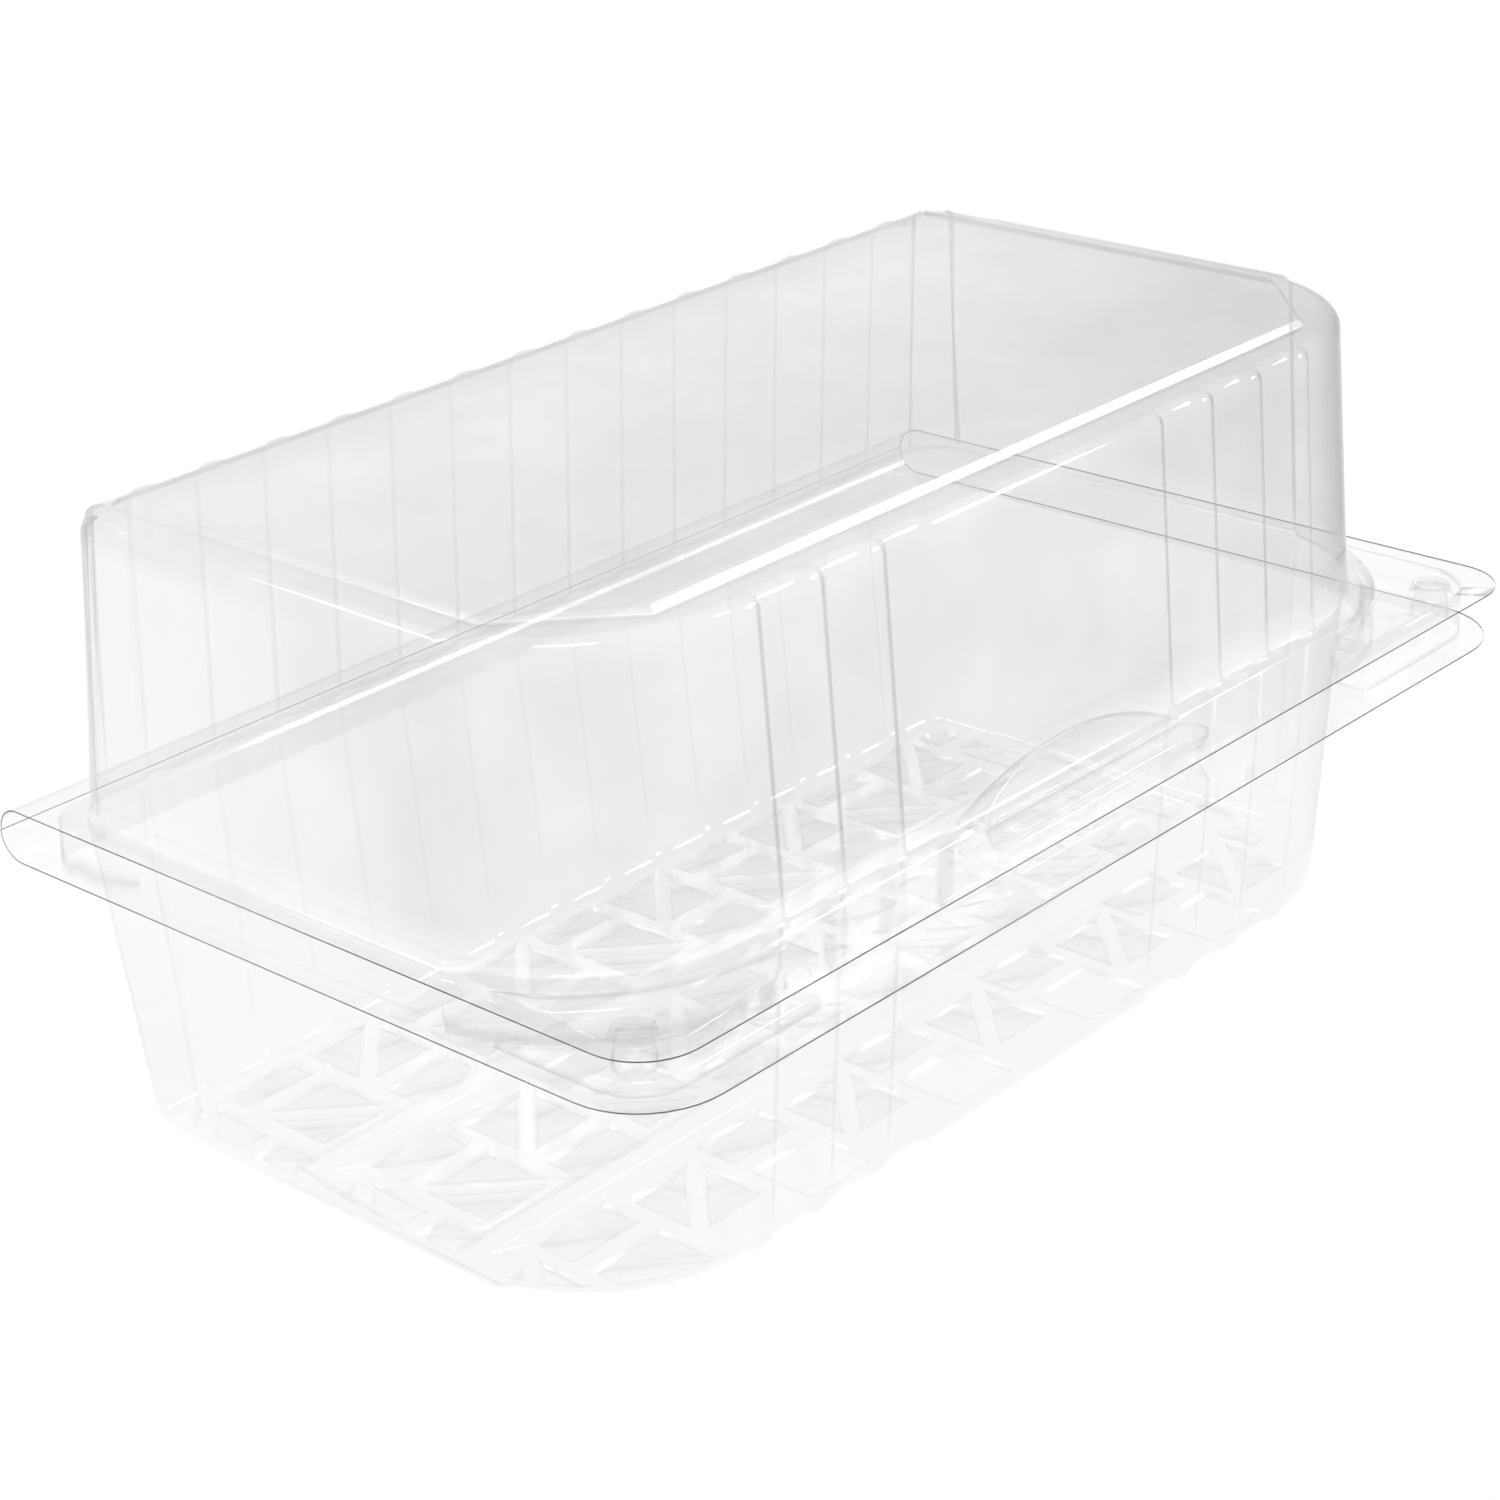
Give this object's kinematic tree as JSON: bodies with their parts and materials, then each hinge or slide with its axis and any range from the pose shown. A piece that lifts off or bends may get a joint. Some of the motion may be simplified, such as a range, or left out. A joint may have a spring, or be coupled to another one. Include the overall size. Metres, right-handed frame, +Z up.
{
  "type": "hinged food container",
  "caption": "Clear thermoformed clamshell food box: ribbed tub with an embossed floor, tall ribbed lid, wide locking flanges and a rolled living hinge along one long side.",
  "frame": {"origin": "centre of the overall box, on the surface that the tub stands on", "axes": "+X along the long side and the hinge, +Y from the opening side to the hinge, +Z up"},
  "size_m": [0.23, 0.1444, 0.1111],
  "materials": {
    "clear_sheet": "clear glossy PET sheet"
  },
  "bodies": {
    "base": {"base_tub": "clear_sheet"},
    "cover": {"lid": "clear_sheet"}
  },
  "joints": [
    {"name": "lid_hinge", "type": "hinge", "parent": "base", "child": "cover", "pos_m": [0, 0.0722, 0.05412], "axis": [-1, 0, 0], "range_deg": [0, 172]}
  ]
}
